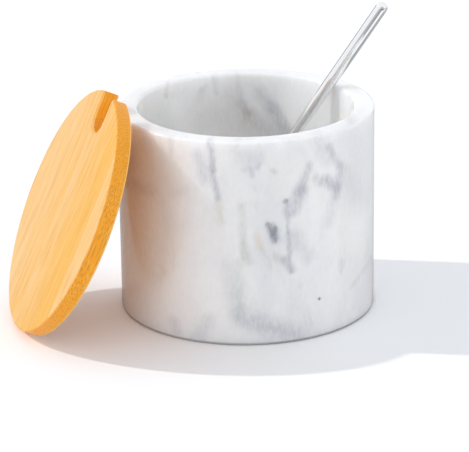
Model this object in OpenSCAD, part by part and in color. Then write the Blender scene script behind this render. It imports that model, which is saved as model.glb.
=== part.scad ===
// Marble salt cellar: a turned stone jar, a slotted bamboo lid that leans on it, and a round-handled spoon.
// The frame's origin is the middle of the jar's foot, +Z is up, and -Y faces the viewer.

/* [Jar] */
// Outer diameter of the jar
jar_d = 100; // [80:1:140]
// Height of the jar
jar_h = 81; // [60:1:110]
// Thickness of the wall
wall_t = 8; // [5:0.5:14]
// Thickness of the stone under the hollow
floor_t = 9; // [5:0.5:15]
// Radius between the inside wall and the inside floor
hollow_fillet_r = 5; // [1:0.5:10]
// Rounding of the rim's outer edge
rim_outer_round = 1; // [0.4:0.1:2]
// Rounding of the rim's inner edge
rim_inner_round = 1.2; // [0.4:0.1:2]
// Rounding of the foot's edge
foot_round = 0.7; // [0.3:0.1:2]

/* [Lid] */
// How far the board's edge lies inside the jar's outside, all round
lid_inset = 1.25; // [0:0.05:3]
// Thickness of the board
lid_t = 6.3; // [4:0.1:10]
// Number of glued bamboo strips across the board, an odd number
lid_strips = 15; // [9:2:25]
// Rounding of the board's two edges
lid_edge_round = 0.8; // [0.3:0.1:1.5]
// Height of the step that drops into the mouth
plug_h = 2.2; // [1.5:0.1:5]
// Gap between the step and the mouth, all round
plug_clearance = 0.8; // [0.4:0.1:2]
// Rounding of the step's edge
plug_edge_round = 0.5; // [0.2:0.1:1]
// Width of the slot for the spoon's handle
slot_w = 13; // [8:0.5:18]
// Length of the slot, from the board's edge to its round end
slot_l = 15.7; // [12:0.1:24]
// Easing cut along the slot's edges
slot_ease = 0.8; // [0.3:0.1:1.2]

/* [Spoon] */
// Length of the spoon, from the bowl's tip to the handle's end
spoon_l = 125; // [110:1:150]
// Diameter of the handle's parallel part
handle_d = 4.9; // [3.5:0.1:7]
// Length of the handle's parallel part, with its round end
handle_parallel_l = 42; // [20:1:70]
// Diameter of the handle's thin end, at the weld
neck_d = 3.5; // [2.5:0.1:4.5]
// Length of the stub that the bowl is welded to the handle with
neck_l = 5; // [3:0.5:8]
// Diameter of the bowl, at the middle of its sheet
bowl_d = 24; // [18:0.5:28]
// Depth of the bowl, at the middle of its sheet
bowl_depth = 5.5; // [4:0.1:8]
// Thickness of the bowl's sheet
bowl_t = 1; // [0.8:0.1:1.5]
// How much thicker than the sheet the bead round the bowl's edge is
lip_extra = 0.3; // [0.2:0.05:1]
// How far the bowl's edge stands proud of the handle's axis
lip_rise = 1; // [0:0.1:1.5]

/* [Resting places] */
// Gap between pieces that lean or rest on each other
rest_gap = 0.3; // [0.1:0.05:0.5]
// Lean of the lid's board from upright
lid_lean = 24.7; // [15:0.1:35]
// Direction that the lid's top face looks in, from +X
lid_heading = 195.1; // [180:0.1:215]
// Sideways place of the lid's middle, from the jar's middle
lid_shift = 4.7; // [-10:0.1:10]
// Turn of the slot from straight up the board
slot_turn = 1.2; // [-20:0.1:20]
// Place on the rim that carries the handle, from +X
spoon_rim_angle = 34.1; // [20:0.1:50]
// Place of the bowl round the hollow, from +X
bowl_angle = 98.7; // [90:0.1:110]
// Gap between the bowl's back and the inside wall
bowl_wall_gap = 5.1; // [3:0.1:10]
// Turn of the bowl about the handle, from facing the viewer
spoon_turn = 20; // [0:1:40]

/* [Hidden] */
$fn = 144;
// Every cut runs past the stone, wood or steel by this much
overrun = 1;
two_digits_from = 10;

jar_r = jar_d / 2;
mouth_r = jar_r - wall_t;

lid_r = jar_r - lid_inset;
lid_d = 2 * lid_r;
plug_r = mouth_r - plug_clearance;
strip_w = lid_d / lid_strips;
slot_r = slot_w / 2;
slot_end_y = lid_r - slot_l + slot_r;

handle_r = handle_d / 2;
neck_r = neck_d / 2;
lip_r = (bowl_t + lip_extra) / 2;
bowl_r = bowl_d / 2;
bowl_sphere_r = (bowl_r * bowl_r + bowl_depth * bowl_depth) / (2 * bowl_depth);
weld_z = bowl_r + lip_r + neck_l;
handle_end_z = spoon_l - bowl_r - lip_r;
taper_l = handle_end_z - handle_parallel_l - weld_z;

// The lid stands on its lower edge. Its step or its board leans on the rim, or on the wall if the rim is higher.
lid_z = (lid_r - lid_edge_round) * cos(lid_lean) - lid_edge_round * sin(lid_lean) + lid_edge_round;
step_top_z = lid_z + plug_r * cos(lid_lean) - plug_h * sin(lid_lean);
board_top_z = lid_z + lid_r * cos(lid_lean);
lid_out = max(lean_out(plug_h, step_top_z), lean_out(0, board_top_z));

// How far out the lid's middle stands when a face, so deep under the board and so high, leans on the jar.
function lean_out(depth, top_z) =
    let (contact_z = min(jar_h - rim_outer_round, top_z))
    let (stack = rim_outer_round + rest_gap + depth + (contact_z - lid_z) * sin(lid_lean))
    jar_r - rim_outer_round + stack / cos(lid_lean);

// The handle leans on the rim's rounded inner edge, and the bowl's lip stands on the inside floor.
bowl_out = mouth_r - bowl_wall_gap - bowl_depth - bowl_t / 2 + lip_rise;
rim_tangent = [-sin(spoon_rim_angle), cos(spoon_rim_angle), 0];
rim_centre = [
    (mouth_r + rim_inner_round) * cos(spoon_rim_angle),
    (mouth_r + rim_inner_round) * sin(spoon_rim_angle),
    jar_h - rim_inner_round
];
spoon_dir = aim(aim(aim([0, 0, 1])));
spoon_lean = acos(spoon_dir[2]);
spoon_heading = atan2(spoon_dir[1], spoon_dir[0]);

function unit(v) = v / norm(v);

// Radius of the handle at a distance from the bowl's middle.
function handle_radius(z) =
    neck_r + (handle_r - neck_r) * min(max((z - weld_z) / taper_l, 0), 1);

// Where the bowl's middle stands if the handle points along dir.
function bowl_place(dir) =
    let (face_z = -sin(spoon_turn) * norm([dir[0], dir[1]]))
    let (drop = lip_r + bowl_r * sqrt(1 - face_z * face_z) - lip_rise * face_z)
    [bowl_out * cos(bowl_angle), bowl_out * sin(bowl_angle), floor_t + rest_gap + drop];

// Where the handle's axis passes the rim if it points along dir.
function rim_pass(dir) =
    let (reach = (jar_h - floor_t) / dir[2] - bowl_r)
    let (off = rim_inner_round + handle_radius(reach) + rest_gap)
    rim_centre + off * unit(cross(dir, rim_tangent));

// The handle's direction, better than the one that it is worked out from.
function aim(dir) = unit(rim_pass(dir) - bowl_place(dir));

function strip_name(i) = str("lid_strip_", i < two_digits_from ? "0" : "", i);

// What is cut from a convex corner to round it: the corner's square less the circle in it.
module corner_off(r, turn) {
    rotate(turn) difference() {
        square(r + overrun);
        circle(r);
    }
}

// Half section of the hollow, with its rounded inside corner.
module hollow_section() {
    difference() {
        translate([0, floor_t]) square([mouth_r, jar_h - floor_t + overrun]);
        translate([mouth_r - hollow_fillet_r, floor_t + hollow_fillet_r]) corner_off(hollow_fillet_r, -90);
    }
}

// Half section of the jar's wall and floor, with its rounded edges.
module jar_section() {
    difference() {
        square([jar_r, jar_h]);
        hollow_section();
        translate([jar_r - rim_outer_round, jar_h - rim_outer_round]) corner_off(rim_outer_round, 0);
        translate([mouth_r + rim_inner_round, jar_h - rim_inner_round]) corner_off(rim_inner_round, 90);
        translate([jar_r - foot_round, foot_round]) corner_off(foot_round, -90);
    }
}

module marble_jar() {
    color([0.90, 0.91, 0.92]) rotate_extrude() jar_section();
}

// Half section of the lid: the board from z = 0 up, and the step below it.
module lid_section() {
    difference() {
        square([lid_r, lid_t]);
        translate([lid_r - lid_edge_round, lid_t - lid_edge_round]) corner_off(lid_edge_round, 0);
        translate([lid_r - lid_edge_round, lid_edge_round]) corner_off(lid_edge_round, -90);
    }
    difference() {
        translate([0, -plug_h]) square([plug_r, plug_h]);
        translate([plug_r - plug_edge_round, plug_edge_round - plug_h]) corner_off(plug_edge_round, -90);
    }
}

// The slot, grown by a margin, between two heights.
module slot_cut(margin, z, h) {
    translate([0, slot_end_y, z]) cylinder(h = h, r = slot_r + margin);
    translate([-slot_r - margin, slot_end_y, z]) cube([2 * (slot_r + margin), lid_r, h]);
}

// The easing round the slot's edge at the top face: a cone at the round end and two sloping sides.
module slot_easing() {
    grown = slot_r + slot_ease;
    translate([0, slot_end_y, lid_t - slot_ease])
        cylinder(h = slot_ease + overrun, r1 = slot_r, r2 = grown + overrun);
    translate([0, slot_end_y + lid_r, lid_t - slot_ease])
        rotate([90, 0, 0])
        linear_extrude(lid_r)
        polygon([
            [-slot_r, 0],
            [slot_r, 0],
            [grown + overrun, slot_ease + overrun],
            [-grown - overrun, slot_ease + overrun]
        ]);
}

module lid_board() {
    difference() {
        rotate_extrude() lid_section();
        slot_cut(0, -plug_h - overrun, plug_h + lid_t + 2 * overrun);
        slot_easing();
    }
}

module lid_place() {
    translate([
        lid_out * cos(lid_heading) - lid_shift * sin(lid_heading),
        lid_out * sin(lid_heading) + lid_shift * cos(lid_heading),
        lid_z
    ])
        rotate([0, 90 - lid_lean, lid_heading])
        rotate([0, 0, 90 + slot_turn])
        children();
}

// One strip of the board, its full thickness and step included.
module lid_strip(i) {
    pale = (i % 3) / 3;
    color([0.93 + 0.04 * pale, 0.74 + 0.05 * pale, 0.45 + 0.08 * pale])
        lid_place()
        intersection() {
            lid_board();
            translate([(i - 1) * strip_w - lid_r, -lid_r - overrun, -plug_h - overrun])
                cube([strip_w, lid_d + 2 * overrun, plug_h + lid_t + 2 * overrun]);
        }
}

module spoon_place() {
    translate(bowl_place(spoon_dir))
        rotate([0, spoon_lean, spoon_heading])
        rotate([0, 0, spoon_turn - 90])
        children();
}

// The bowl's sheet: a spherical dish whose open side looks along +X, cut square at its edge.
module dish() {
    translate([lip_rise + bowl_sphere_r - bowl_depth, 0, 0])
        rotate([0, -90, 0])
        intersection() {
            difference() {
                sphere(bowl_sphere_r + bowl_t / 2);
                sphere(bowl_sphere_r - bowl_t / 2);
            }
            cylinder(
                h = 2 * (bowl_sphere_r - bowl_depth),
                r1 = 0,
                r2 = 2 * bowl_r
            );
        }
}

module lip_bead() {
    translate([lip_rise, 0, 0])
        rotate([0, 90, 0])
        rotate_extrude()
        translate([bowl_r, 0])
        circle(lip_r);
}

// The stub behind the lip, that the handle is welded to.
module neck_stub() {
    difference() {
        cylinder(h = weld_z, r = neck_r);
        translate([lip_rise + bowl_sphere_r - bowl_depth, 0, 0]) sphere(bowl_sphere_r);
        translate([-bowl_depth, 0, 0])
            rotate([0, 90, 0])
            cylinder(h = bowl_depth + neck_d, r = bowl_r);
    }
}

module spoon_bowl() {
    color([0.80, 0.81, 0.83]) spoon_place() {
        dish();
        lip_bead();
        neck_stub();
    }
}

// Half section of the handle: the taper, the parallel part and the round end.
module handle_section() {
    difference() {
        polygon([
            [0, weld_z],
            [neck_r, weld_z],
            [handle_r, weld_z + taper_l],
            [handle_r, handle_end_z],
            [0, handle_end_z]
        ]);
        translate([0, handle_end_z - handle_r]) corner_off(handle_r, 0);
    }
}

module spoon_handle() {
    color([0.80, 0.81, 0.83]) spoon_place() rotate_extrude() handle_section();
}

marble_jar();
for (i = [1:lid_strips]) lid_strip(i);
spoon_bowl();
spoon_handle();
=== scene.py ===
"""Looks of the marble salt cellar: stone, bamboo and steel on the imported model, with its floor and light.

Everything is in metres, in the model's own frame: the origin is the middle of the jar's foot, and -Y
faces the viewer. The finishes think in millimetres.
"""

import math

import bpy
from mathutils import Matrix, Vector


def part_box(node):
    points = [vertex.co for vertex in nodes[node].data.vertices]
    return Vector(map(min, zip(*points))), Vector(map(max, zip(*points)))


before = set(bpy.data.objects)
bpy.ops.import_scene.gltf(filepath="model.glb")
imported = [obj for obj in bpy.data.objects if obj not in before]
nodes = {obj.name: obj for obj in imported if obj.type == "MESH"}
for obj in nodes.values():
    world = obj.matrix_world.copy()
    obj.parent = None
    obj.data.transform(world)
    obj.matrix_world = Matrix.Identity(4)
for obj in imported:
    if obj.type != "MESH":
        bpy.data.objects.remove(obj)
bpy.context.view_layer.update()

MM = 0.001

# The photograph's frame and the camera that fits its edges
IMAGE_WIDTH_PX = 469
FOCAL_PX = 2540.5
SENSOR_MM = 36.0
CLIP_END = 100.0
CAMERA_PLACE = Vector((0.0, -0.9443, 0.3665))
CAMERA_PITCH = math.radians(19.58)
CAMERA_YAW = math.radians(-0.298)
CAMERA_ROLL = math.radians(-0.801)

# The jar's and its hollow's radius in millimetres, and the lid's strips, place and lean, as in the model
JAR_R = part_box("marble_jar")[1].x / MM
HOLLOW_R = 42.0
LID_STRIPS = 15
LID_MIDDLE = (-65.8, -22.6, 44.0)
LID_LEAN = math.radians(24.7)
LID_HEADING = math.radians(195.1)
SLOT_TURN = math.radians(1.2)

# The sun: low, from the left and a little behind
KEY_ELEVATION = math.radians(37.7)
KEY_TRAVEL = math.radians(-8.1)
KEY_STRENGTH = 1.30
KEY_ANGLE = math.radians(1.5)

# The room's level at the horizon, straight up and below the horizon, and its level for mirror rays
FILL_LOW = 1.57
FILL_HIGH = 0.56
FILL_TINT = (0.985, 1.0, 1.035)
LIT_FLOOR = 1.15
MIRRORED_ROOM = 1.0
MIRRORED_FLOOR = 0.55
# Directions are measured by cosine or by height on a unit ball. Each edge runs between two such values
HORIZON = (-0.09, -0.01)
# The room is dimmer by these shares towards the viewer and away from the viewer
FRONT_SIDE = (0.17, -0.985, 0.0)
DIM_FRONT = 0.50
FRONT_EDGE = (0.75, 0.92)
DIM_BACK = 0.42
BACK_EDGE = (-0.55, -0.90)
# A small dark flag at the back left puts a dark band in the steel
FLAG_SIDE = (-0.66, 0.745, 0.09)
FLAG_EDGE = (0.980, 0.990)
FLAG_LEVEL = 0.15

# The sheet's edges, and its colour for the light and for the camera
SHEET_X = 0.5
SHEET_FRONT = -0.185
SHEET_BACK = 0.6
SHEET_WHITE = 0.84
SHEET_SEEN = (0.97, 0.985, 1.0, 1.0)
SHEET_LIFT = 0.045
SHEET_ROUGHNESS = 0.9
# Mirror rays meet it darker, but for a bright strip whose two edges in Y each run between two places
MIRRORED_SHADE = 0.50
MIRRORED_LIFT = 0.28
STRIP_FRONT = (-0.14, -0.11)
STRIP_BACK = (-0.05, -0.025)


def rgb(red, green, blue):
    return (red, green, blue, 1.0)


class Graph:
    """A shader's node tree. Each method adds a node and gives back its output."""

    def __init__(self, tree):
        self.tree = tree

    def feed(self, socket, value):
        if isinstance(value, bpy.types.NodeSocket):
            self.tree.links.new(value, socket)
        else:
            socket.default_value = value

    def add(self, kind, inputs, output=0, **settings):
        node = self.tree.nodes.new(kind)
        for key, value in settings.items():
            setattr(node, key, value)
        for key, value in inputs.items():
            self.feed(node.inputs[key], value)
        return node.outputs[output]

    def math(self, operation, *values):
        return self.add("ShaderNodeMath", dict(enumerate(values)), operation=operation)

    def vector(self, operation, *values, output=0):
        return self.add("ShaderNodeVectorMath", dict(enumerate(values)), output, operation=operation)

    def scaled(self, vector, factor):
        return self.add("ShaderNodeVectorMath", {"Vector": vector, "Scale": factor}, operation="SCALE")

    def mix(self, factor, a, b):
        return self.add("ShaderNodeMix", {0: factor, 6: a, 7: b}, 2, data_type="RGBA")

    def place_mm(self):
        """The point on the object, in millimetres in the model's frame at rest."""
        return self.scaled(self.add("ShaderNodeTexCoord", {}, "Object"), 1 / MM)

    def noise(self, point, size, detail=2.0, rough=0.5, output="Fac"):
        """Noise whose features are about that many millimetres."""
        inputs = {"Vector": point, "Scale": 1 / size, "Detail": detail, "Roughness": rough}
        return self.add("ShaderNodeTexNoise", inputs, output)

    def drift(self, point, size, detail=2.0, rough=0.5):
        """A vector of noise of that many millimetres, up to a half each way."""
        return self.vector("SUBTRACT", self.noise(point, size, detail, rough, "Color"), (0.5, 0.5, 0.5))

    def swirl(self, point, size, reach):
        """The point moved about by noise of that many millimetres, by up to half the reach each way."""
        return self.vector("ADD", point, self.scaled(self.drift(point, size), reach))

    def step(self, value, low, high, to_low=0.0, to_high=1.0):
        """A smooth step from to_low at low to to_high at high."""
        inputs = {"Value": value, "From Min": low, "From Max": high, "To Min": to_low, "To Max": to_high}
        return self.add("ShaderNodeMapRange", inputs, interpolation_type="SMOOTHSTEP")

    def share(self, value, whole):
        """value as a share of the whole, kept between 0 and 1."""
        return self.add("ShaderNodeMath", {0: value, 1: whole}, operation="DIVIDE", use_clamp=True)

    def rays(self, *names):
        """1 for a ray of one of the named kinds, and 0 for any other."""
        found = self.tree.nodes.new("ShaderNodeLightPath").outputs
        kind = found[names[0]]
        for name in names[1:]:
            kind = self.math("MAXIMUM", kind, found[name])
        return kind


class Shader(Graph):
    """One node-based material."""

    def __init__(self, name):
        self.material = bpy.data.materials.new(name)
        self.material.use_nodes = True
        super().__init__(self.material.node_tree)
        self.surface = self.tree.nodes["Principled BSDF"].inputs

    def bump(self, height, depth_mm):
        return self.add("ShaderNodeBump", {"Height": height, "Distance": depth_mm * MM})


WHITE = rgb(0.892, 0.897, 0.898)
PEARL = rgb(0.765, 0.775, 0.79)
SMOKE = rgb(0.47, 0.48, 0.53)
SLATE = rgb(0.15, 0.16, 0.21)
MOSS = rgb(0.60, 0.62, 0.59)
TAUPE = rgb(0.47, 0.42, 0.38)
OCHRE = rgb(0.72, 0.62, 0.46)
# Painted contact shade at the jar's foot
PAINTED_FOOT_SHADE = rgb(0.30, 0.28, 0.26)

# Marks on the jar's front, each with its half width, its share and its tint. Most are the stone's own; two
# wide clouds are painted shade.
# Each runs from one place to another, as (degrees round from the front, height).
MARKS = [
    ((-15.6, 84), (-14.6, 71), 2.6, 0.55, SMOKE),
    ((-14.6, 71), (-12.0, 59), 2.2, 0.62, SMOKE),
    ((-12.0, 59), (-11.0, 50), 2.4, 0.30, MOSS),
    ((-21.5, 75), (-17.5, 66), 4.0, 0.35, SMOKE),
    ((-25, 72), (-24, 58), 5.0, 0.20, PEARL),
    ((-28, 61), (-34, 58), 3.2, 0.14, TAUPE),
    # Painted shade: a wide ochre cloud on the left, for the lid's shade and the warm light it throws on the
    # jar
    ((-48, 70), (-52, 30), 22.0, 0.34, OCHRE),
    ((-46, 58), (-66, 56), 4.5, 0.22, TAUPE),
    ((-4, 79), (2, 74), 6.0, 0.22, SMOKE),
    ((6, 79), (7.0, 74), 2.6, 0.14, SMOKE),
    ((1.6, 71), (2.2, 68), 1.8, 0.38, SMOKE),
    ((-1.0, 70.8), (-0.8, 70), 1.6, 0.22, SMOKE),
    ((2.8, 63.6), (3.2, 62.4), 1.6, 0.16, SMOKE),
    ((5.4, 72.4), (4.6, 71), 1.7, 0.32, SMOKE),
    ((11.4, 69.2), (11.8, 68.8), 1.8, 0.32, TAUPE),
    ((9.6, 48.6), (11.6, 44.4), 1.7, 0.70, SLATE),
    ((12.6, 46.6), (12.9, 41.4), 1.6, 0.60, SLATE),
    ((11.4, 47.4), (12.4, 42.8), 2.6, 0.35, SLATE),
    ((10.8, 47.6), (12.3, 42.0), 3.8, 0.38, SMOKE),
    ((27.5, 70), (23.4, 60), 2.8, 0.50, SMOKE),
    ((24.0, 61), (19.6, 53.5), 4.6, 0.56, SMOKE),
    ((17.4, 57.8), (16.8, 57.2), 1.5, 0.70, SLATE),
    ((17.6, 57), (18.1, 44), 1.3, 0.50, SMOKE),
    ((18.1, 44), (19.0, 29), 1.5, 0.50, SMOKE),
    ((33, 80), (38, 71), 5.5, 0.28, SMOKE),
    ((38.8, 75.5), (45.5, 66.8), 2.4, 0.50, SMOKE),
    ((31.5, 64.5), (33, 62.5), 3.0, 0.40, SMOKE),
    ((36.5, 63), (43, 58.5), 3.8, 0.70, SMOKE),
    ((46, 67), (42.5, 55), 2.8, 0.45, SMOKE),
    ((42, 55), (38, 45), 4.0, 0.25, SMOKE),
    ((49, 64), (58, 52), 5.5, 0.30, SMOKE),
    # Painted shade: a wide pearl cloud that darkens the jar's right side, away from the sun
    ((56, 82), (62, 50), 11.0, 0.80, PEARL),
    ((-8, 32), (-5, 16), 6.0, 0.28, MOSS),
    ((-5, 20), (10, 4), 9.0, 0.22, SMOKE),
    ((-4, 12), (22, 3), 6.5, 0.45, SMOKE),
    ((-18, 9), (-22, 2), 5.0, 0.30, SMOKE),
    ((-35, 7), (-33, 3), 4.0, 0.35, SMOKE),
    ((32.5, 15.9), (32.7, 15.6), 0.9, 1.00, SLATE),
    ((74, 22), (54, 16), 2.2, 0.24, SMOKE),
    ((12.5, 35.5), (15.5, 33.5), 2.6, 0.50, MOSS),
    ((16.6, 34), (19.5, 29.5), 2.8, 0.50, SMOKE),
    ((21, 43), (27, 34), 5.0, 0.28, SMOKE),
    ((-2.0, 56), (-1.6, 36), 2.4, 0.40, MOSS),
    ((-1.6, 41), (0.5, 34), 3.0, 0.45, MOSS),
    ((-3.5, 34), (-3.5, 12), 3.0, 0.28, MOSS),
    ((5, 44), (6.2, 39.5), 2.6, 0.45, OCHRE),
    ((-13.5, 50), (-11, 57), 3.0, 0.20, OCHRE),
]
# Marks on the back of the hollow, placed the same way from the back
HOLLOW_MARKS = [
    ((-47.5, 84), (-47.6, 76), 1.6, 0.30, TAUPE),
    ((-62, 80), (-50, 60), 9.0, 0.20, MOSS),
    ((-18, 80), (-17, 74), 2.2, 0.22, TAUPE),
    ((-20, 66), (2, 56), 15.0, 0.16, TAUPE),
    ((-8, 72), (0, 64), 6.0, 0.18, TAUPE),
    ((-3, 69), (1, 64), 3.2, 0.35, TAUPE),
    ((-5, 80), (-3, 72), 2.4, 0.15, TAUPE),
    ((8, 73), (14.5, 67), 5.0, 0.32, SMOKE),
    ((14.5, 67), (25, 55), 5.0, 0.45, SMOKE),
    ((2, 62), (18, 54), 7.0, 0.25, TAUPE),
]
# The marks run into the stone: depth counts this much less than width
DEPTH_SHARE = 0.3
# Their line wanders, and their edges are ragged: the size of each noise, and its reach
MARK_SWIRL = (16.0, 3.0)
RAGGED_SIZE = 1.5
RAGGED_REACH = 1.5
# Grain that breaks them up: its size, the band of noise it covers, and the least of a mark that it leaves
GRAIN_SIZE = 1.1
GRAIN_BAND = (0.30, 0.64)
GRAIN_LEAST = 0.50

# The stone's cloud is drawn out upwards by this much
RISE = 0.4
# Sizes of its figure, the band of noise each covers, and the share of its tint
CLOUD_SWIRL = (30.0, 16.0)
CLOUD_SIZE = 19.0
CLOUD_BAND = (0.42, 0.74)
CLOUD_SHARE = 0.60
WISP_SIZE = 7.0
WISP_BAND = (0.54, 0.80)
PATCH_SIZE = 40.0
PATCH_BAND = (0.45, 0.68)
PATCH_SHARE = 0.4
MOTTLE_SIZE = 1.3
MOTTLE_BAND = (0.35, 0.75)
MOTTLE_SHARE = 0.07
# Painted contact shade: the stone darkens at its foot between these heights
FOOT_SHADE_HEIGHTS = (1.5, 0.5)
FOOT_SHADE_SHARE = 0.75
# Its polish, the faint waves of its surface, and how far light goes into it
POLISH_SIZE = 5.0
POLISH_ROUGHNESS = (0.06, 0.11)
WAVE_SIZE = 4.0
WAVE_DEPTH = 0.008
GLOW_RADIUS = (1.0, 0.9, 0.8)
GLOW_DEPTH = 6.0 * MM
# Most noise runs between these two values
NOISE_BAND = (0.3, 0.7)


def wall_place(angle_deg, height, radius):
    """A place on a round wall, in millimetres, with its depth's share.

    A radius below 0 is on the far side.
    """
    angle = math.radians(angle_deg)
    return Vector((math.sin(angle) * abs(radius), -math.cos(angle) * radius * DEPTH_SHARE, height))


def mark_mask(shader, point, start, end, half_width):
    """1 on the line from start to end, and 0 a half width away from it."""
    span = end - start
    away = shader.vector("SUBTRACT", point, start)
    along = shader.vector("DOT_PRODUCT", away, span, output="Value")
    share = shader.share(along, span.length_squared)
    nearest = shader.scaled(tuple(span), share)
    distance = shader.vector("DISTANCE", away, nearest, output="Value")
    return shader.step(distance, half_width, 0.0)


def clouded(shader, place, upright):
    """The stone's own colour before its marks: pearly clouds, smoky wisps in patches, and a fine mottle."""
    cloud_place = shader.vector("MULTIPLY", shader.swirl(place, *CLOUD_SWIRL), (1.0, 1.0, RISE))
    cloud_noise = shader.noise(cloud_place, CLOUD_SIZE, detail=5.0, rough=0.55)
    colour = shader.mix(shader.step(cloud_noise, *CLOUD_BAND, 0.0, CLOUD_SHARE), WHITE, PEARL)
    wisps = shader.step(shader.noise(cloud_place, WISP_SIZE, detail=5.0, rough=0.60), *WISP_BAND)
    patches = shader.step(shader.noise(place, PATCH_SIZE, detail=1.0), *PATCH_BAND, 0.0, PATCH_SHARE)
    colour = shader.mix(shader.math("MULTIPLY", wisps, patches), colour, SMOKE)
    mottle_noise = shader.noise(upright, MOTTLE_SIZE, detail=3.0, rough=0.6)
    return shader.mix(shader.step(mottle_noise, *MOTTLE_BAND, 0.0, MOTTLE_SHARE), colour, SMOKE)


def marked(shader, place, upright, colour):
    """The colour with the placed marks laid over it, on the jar's front and on the back of its hollow."""
    ragged = shader.drift(upright, RAGGED_SIZE, detail=3.0, rough=0.6)
    mark_place = shader.vector("ADD", shader.swirl(place, *MARK_SWIRL), shader.scaled(ragged, RAGGED_REACH))
    mark_place = shader.vector("MULTIPLY", mark_place, (1.0, DEPTH_SHARE, 1.0))
    grain = shader.noise(upright, GRAIN_SIZE, detail=4.0, rough=0.60)
    smoky = shader.step(grain, *GRAIN_BAND, GRAIN_LEAST, 1.0)
    placed = [(mark, JAR_R) for mark in MARKS] + [(mark, -HOLLOW_R) for mark in HOLLOW_MARKS]
    for (start, end, half_width, share, tint), radius in placed:
        ends = wall_place(*start, radius), wall_place(*end, radius)
        mask = mark_mask(shader, mark_place, *ends, half_width)
        strength = shader.math("MULTIPLY", shader.math("MULTIPLY", mask, smoky), share)
        colour = shader.mix(strength, colour, tint)
    return colour


def marble():
    """Polished white marble. Its figure runs through the whole stone, and light goes a little way in.
    Painted shade darkens its foot, a wide cloud on its left and one on its right.
    """
    shader = Shader("marble")
    place = shader.place_mm()
    upright = shader.vector("MULTIPLY", place, (1.0, 1.0, RISE))
    colour = marked(shader, place, upright, clouded(shader, place, upright))
    # Painted contact shade: the stone darkens at its foot
    height = shader.add("ShaderNodeSeparateXYZ", {0: place}, "Z")
    colour = shader.mix(shader.step(height, *FOOT_SHADE_HEIGHTS, 0.0, FOOT_SHADE_SHARE), colour, PAINTED_FOOT_SHADE)

    polish = shader.step(shader.noise(place, POLISH_SIZE, detail=3.0), *NOISE_BAND, *POLISH_ROUGHNESS)
    shader.feed(shader.surface["Base Color"], colour)
    shader.feed(shader.surface["Roughness"], polish)
    shader.feed(shader.surface["Normal"], shader.bump(shader.noise(place, WAVE_SIZE), WAVE_DEPTH))
    shader.surface["Subsurface Weight"].default_value = 1.0
    shader.surface["Subsurface Radius"].default_value = GLOW_RADIUS
    shader.surface["Subsurface Scale"].default_value = GLOW_DEPTH
    return shader.material


def lid_turn():
    """The lid's own axes: X across the strips, Y up the slope along them, Z out of the top face."""
    heading = Matrix.Rotation(LID_HEADING, 4, "Z")
    lean = Matrix.Rotation(math.pi / 2 - LID_LEAN, 4, "Y")
    turn = Matrix.Rotation(math.pi / 2 + SLOT_TURN, 4, "Z")
    return heading @ lean @ turn


PALE_BAMBOO = rgb(0.810, 0.524, 0.238)
RIPE_BAMBOO = rgb(0.810, 0.435, 0.085)
# Painted shade: the underside's deeper, redder tone stands in for its shade and the warm light it throws on
# the jar
UNDERSIDE_SHADE_BAMBOO = rgb(0.80, 0.30, 0.035)
EDGE_BAMBOO = rgb(1.00, 0.40, 0.020)
FIBRE = rgb(0.60, 0.24, 0.03)
PITH = rgb(0.98, 0.60, 0.18)
# How ripe each strip's tone is, from one side of the lid to the other, and how far it varies along a strip
STRIP_TONES = [0.15, 0.15, 0.15, 0.15, 0.25, 0.40, 0.55, 0.30, 0.45, 0.65, 0.75, 1.05, 0.90, 0.40, 0.35]
TONE_SPREAD = 0.25
# Each strip is cut from its own place in the cane: the shift per strip, in millimetres
STRIP_SHIFT = (7.0, 3.0, 5.0)
# Sizes across the grain, and how much slower each changes along it
TONE_SIZE = 3.0
TONE_STRETCH = 0.14
THREAD_SIZE = 0.5
THREAD_STRETCH = 0.02
THREAD_RELIEF = 0.03
# The fibre bundles' spacing, the distance from a bundle's middle over which it fades in, and its scatter
BUNDLE_GAP = 0.45
BUNDLE_BAND = (0.50, 0.22)
BUNDLE_SCATTER = 0.9
# Dark fibre and pale pith on the top face, the underside and the edge. Each is a step of the thread noise:
# from this value, to that value, from this share of the tint, to that share
FACE_FIBRE = (0.50, 0.70, 0.0, 0.60)
FACE_PITH = (0.45, 0.25, 0.0, 0.35)
UNDER_FIBRE = (0.45, 0.65, 0.0, 0.75)
UNDER_PITH = (0.45, 0.25, 0.0, 0.25)
EDGE_PITH = (0.46, 0.32, 0.0, 0.55)
# The share of fibre in a bundle's end
EDGE_FIBRE = 0.65
# Painted highlight: the lid's rear arris shows as a pale line, which fades in between these heights on its
# side
REAR_HIGHLIGHT_HEIGHTS = (0.90, 0.54)
REAR_HIGHLIGHT_SHARE = 0.8
# The face's tone gives way to the edge's, to pith as a painted highlight on the rear arris, and to the
# underside's painted shade as the surface turns away
EDGE_TURN = (0.85, 0.35)
REAR_HIGHLIGHT_TURN = (-0.20, -0.60)
UNDERSIDE_SHADE_TURN = (-0.75, -0.97)
BAMBOO_ROUGHNESS = 0.45
BAMBOO_SHINE = 0.25


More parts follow.
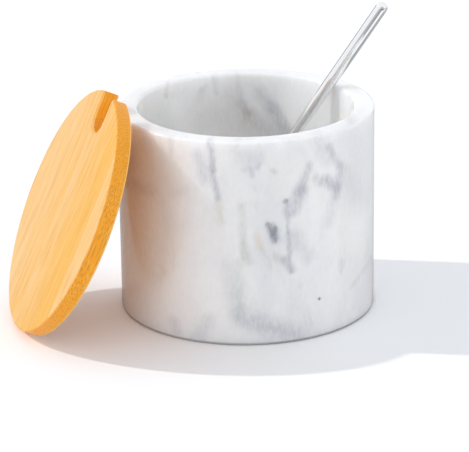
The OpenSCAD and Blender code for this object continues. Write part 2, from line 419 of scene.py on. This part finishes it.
def bamboo(index):
    """One strip's material: the fibres run along the strip, so its ends show them as dots. Its rear arris
    has a painted highlight, and its underside a painted shade tone.
    """
    shader = Shader("bamboo_%02d" % (index + 1))
    turn = lid_turn()
    inputs = {"Vector": shader.place_mm(), "Location": LID_MIDDLE, "Rotation": tuple(turn.to_euler())}
    local = shader.add("ShaderNodeMapping", inputs, vector_type="TEXTURE")
    shift = tuple(part * index for part in STRIP_SHIFT)
    grain = shader.vector("ADD", shader.vector("MULTIPLY", local, (1.0, THREAD_STRETCH, 1.0)), shift)
    patchy = shader.vector("ADD", shader.vector("MULTIPLY", local, (1.0, TONE_STRETCH, 1.0)), shift)
    broad = shader.noise(patchy, TONE_SIZE, detail=3.0, rough=0.55)
    thin = shader.noise(grain, THREAD_SIZE, detail=3.0, rough=0.6)
    spread = {"Vector": grain, "Scale": 1 / BUNDLE_GAP, "Randomness": BUNDLE_SCATTER}
    bundles = shader.step(shader.add("ShaderNodeTexVoronoi", spread), *BUNDLE_BAND)

    ripe = STRIP_TONES[index]
    tone = shader.step(broad, *NOISE_BAND, ripe - TONE_SPREAD, ripe + TONE_SPREAD)
    face = shader.mix(tone, PALE_BAMBOO, RIPE_BAMBOO)
    face = shader.mix(shader.step(thin, *FACE_FIBRE), face, FIBRE)
    face = shader.mix(shader.step(thin, *FACE_PITH), face, PITH)
    # The underside: the real grain over its painted shade tone
    underside_grain_and_shade = shader.mix(shader.step(thin, *UNDER_FIBRE), UNDERSIDE_SHADE_BAMBOO, FIBRE)
    underside_grain_and_shade = shader.mix(shader.step(thin, *UNDER_PITH), underside_grain_and_shade, PITH)
    side = shader.mix(shader.step(thin, *EDGE_PITH), EDGE_BAMBOO, PITH)
    side = shader.mix(shader.math("MULTIPLY", bundles, EDGE_FIBRE), side, FIBRE)
    height = shader.add("ShaderNodeSeparateXYZ", {0: local}, "Z")
    # Painted highlight: a pale line along the rear arris of the side
    side = shader.mix(shader.step(height, *REAR_HIGHLIGHT_HEIGHTS, 0.0, REAR_HIGHLIGHT_SHARE), side, PITH)

    normal = shader.add("ShaderNodeTexCoord", {}, "Normal")
    out_of_face = turn.to_3x3() @ Vector((0, 0, 1))
    facing = shader.vector("DOT_PRODUCT", normal, tuple(out_of_face), output="Value")
    colour = shader.mix(shader.step(facing, *EDGE_TURN), face, side)
    # Painted highlight: pith colour where the surface turns towards the rear arris
    colour = shader.mix(shader.step(facing, *REAR_HIGHLIGHT_TURN), colour, PITH)
    # Painted shade: the underside's tone takes over as the surface turns away from the face
    colour = shader.mix(shader.step(facing, *UNDERSIDE_SHADE_TURN), colour, underside_grain_and_shade)

    shader.feed(shader.surface["Base Color"], colour)
    shader.surface["Roughness"].default_value = BAMBOO_ROUGHNESS
    shader.surface["Specular IOR Level"].default_value = BAMBOO_SHINE
    shader.feed(shader.surface["Normal"], shader.bump(thin, THREAD_RELIEF))
    return shader.material


STEEL = rgb(0.89, 0.89, 0.89)
# The size of the steel's haze in millimetres, and the roughness it runs between
HAZE_SIZE = 2.0
STEEL_ROUGHNESS = (0.03, 0.06)


def steel():
    """Polished steel with a faint haze."""
    shader = Shader("polished_steel")
    place = shader.place_mm()
    polish = shader.step(shader.noise(place, HAZE_SIZE, detail=3.0), *NOISE_BAND, *STEEL_ROUGHNESS)
    shader.surface["Base Color"].default_value = STEEL
    shader.surface["Metallic"].default_value = 1.0
    shader.feed(shader.surface["Roughness"], polish)
    return shader.material


def finish_part(name, material):
    mesh = nodes[name].data
    mesh.materials.clear()
    mesh.materials.append(material)
    mesh.shade_smooth()


def dress_nodes():
    finish_part("marble_jar", marble())
    for index in range(LID_STRIPS):
        finish_part("lid_strip_%02d" % (index + 1), bamboo(index))
    metal = steel()
    finish_part("spoon_bowl", metal)
    finish_part("spoon_handle", metal)


def paper():
    """The sheet's material: near white for the camera, and duller with one bright strip for mirror rays."""
    shader = Shader("sheet")
    shader.surface["Roughness"].default_value = SHEET_ROUGHNESS
    shader.surface["Specular IOR Level"].default_value = 0.0
    seen = shader.rays("Is Camera Ray")
    mirrored = shader.rays("Is Glossy Ray", "Is Transmission Ray")
    place = shader.add("ShaderNodeNewGeometry", {}, "Position")
    depth = shader.add("ShaderNodeSeparateXYZ", {0: place}, "Y")
    ends = shader.step(depth, *STRIP_FRONT), shader.step(depth, *STRIP_BACK, 1.0, 0.0)
    strip = shader.math("MULTIPLY", *ends)

    lift = shader.math("MULTIPLY", seen, SHEET_LIFT)
    gleam = shader.math("MULTIPLY", shader.math("MULTIPLY", strip, mirrored), MIRRORED_LIFT)
    shader.surface["Emission Color"].default_value = rgb(1, 1, 1)
    shader.feed(shader.surface["Emission Strength"], shader.math("ADD", lift, gleam))
    dull = shader.math("MULTIPLY", mirrored, shader.math("SUBTRACT", 1.0, strip))
    unseen = shader.step(dull, 0.0, 1.0, SHEET_WHITE, MIRRORED_SHADE)
    shader.feed(shader.surface["Base Color"], shader.mix(seen, unseen, SHEET_SEEN))
    return shader.material


def sheet():
    """The white sheet that everything stands on. It ends just in front of the camera's view."""
    mesh = bpy.data.meshes.new("sheet")
    near = [(-SHEET_X, SHEET_FRONT, 0), (SHEET_X, SHEET_FRONT, 0)]
    far = [(SHEET_X, SHEET_BACK, 0), (-SHEET_X, SHEET_BACK, 0)]
    mesh.from_pydata(near + far, [], [(0, 1, 2, 3)])
    mesh.materials.append(paper())
    plane = bpy.data.objects.new("sheet", mesh)
    bpy.context.scene.collection.objects.link(plane)


def key_light():
    lamp = bpy.data.lights.new("key", "SUN")
    lamp.energy = KEY_STRENGTH
    lamp.angle = KEY_ANGLE
    holder = bpy.data.objects.new("key", lamp)
    level = math.cos(KEY_ELEVATION)
    travel = Vector((level * math.cos(KEY_TRAVEL), level * math.sin(KEY_TRAVEL), -math.sin(KEY_ELEVATION)))
    holder.rotation_euler = travel.to_track_quat("-Z", "Y").to_euler()
    bpy.context.scene.collection.objects.link(holder)


def studio():
    """The room, by direction: plain white for the camera, and its level for the light and for mirror rays.

    For the light it is brightest at the horizon, and it is dimmer in front and behind.
    """
    world = bpy.data.worlds.new("studio")
    bpy.context.scene.world = world
    world.use_nodes = True
    graph = Graph(world.node_tree)
    direction = graph.add("ShaderNodeTexCoord", {}, "Generated")
    mirrored = graph.rays("Is Glossy Ray", "Is Transmission Ray")
    front = graph.vector("DOT_PRODUCT", direction, FRONT_SIDE, output="Value")
    height = graph.add("ShaderNodeSeparateXYZ", {0: direction}, "Z")
    fill = graph.step(height, 0.0, 1.0, FILL_LOW, FILL_HIGH)
    fill = graph.math("MULTIPLY", fill, graph.step(front, *BACK_EDGE, 1.0, 1.0 - DIM_BACK))
    above = graph.step(mirrored, 0.0, 1.0, fill, MIRRORED_ROOM)
    below = graph.step(mirrored, 0.0, 1.0, LIT_FLOOR, MIRRORED_FLOOR)
    level = graph.step(height, *HORIZON, below, above)
    level = graph.math("MULTIPLY", level, graph.step(front, *FRONT_EDGE, 1.0, 1.0 - DIM_FRONT))
    flag = graph.vector("DOT_PRODUCT", direction, FLAG_SIDE, output="Value")
    level = graph.math("MULTIPLY", level, graph.step(flag, *FLAG_EDGE, 1.0, FLAG_LEVEL))
    tinted = graph.scaled(FILL_TINT, level)
    background = graph.tree.nodes["Background"]
    graph.feed(background.inputs["Color"], graph.mix(graph.rays("Is Camera Ray"), tinted, rgb(1, 1, 1)))


def camera():
    lens = bpy.data.cameras.new("camera")
    lens.sensor_width = SENSOR_MM
    lens.lens = FOCAL_PX * SENSOR_MM / IMAGE_WIDTH_PX
    lens.clip_end = CLIP_END
    holder = bpy.data.objects.new("camera", lens)
    level = math.cos(CAMERA_PITCH)
    forward = Vector((math.sin(CAMERA_YAW) * level, math.cos(CAMERA_YAW) * level, -math.sin(CAMERA_PITCH)))
    right = Vector((math.cos(CAMERA_YAW), -math.sin(CAMERA_YAW), 0.0))
    up = right.cross(forward)
    rolled_right = right * math.cos(CAMERA_ROLL) + up * math.sin(CAMERA_ROLL)
    rolled_up = up * math.cos(CAMERA_ROLL) - right * math.sin(CAMERA_ROLL)
    turn = Matrix((rolled_right, rolled_up, -forward)).transposed()
    holder.matrix_world = Matrix.Translation(CAMERA_PLACE) @ turn.to_4x4()
    bpy.context.scene.collection.objects.link(holder)
    bpy.context.scene.camera = holder


camera()
dress_nodes()
sheet()
key_light()
studio()
bpy.context.scene.view_settings.view_transform = "Standard"
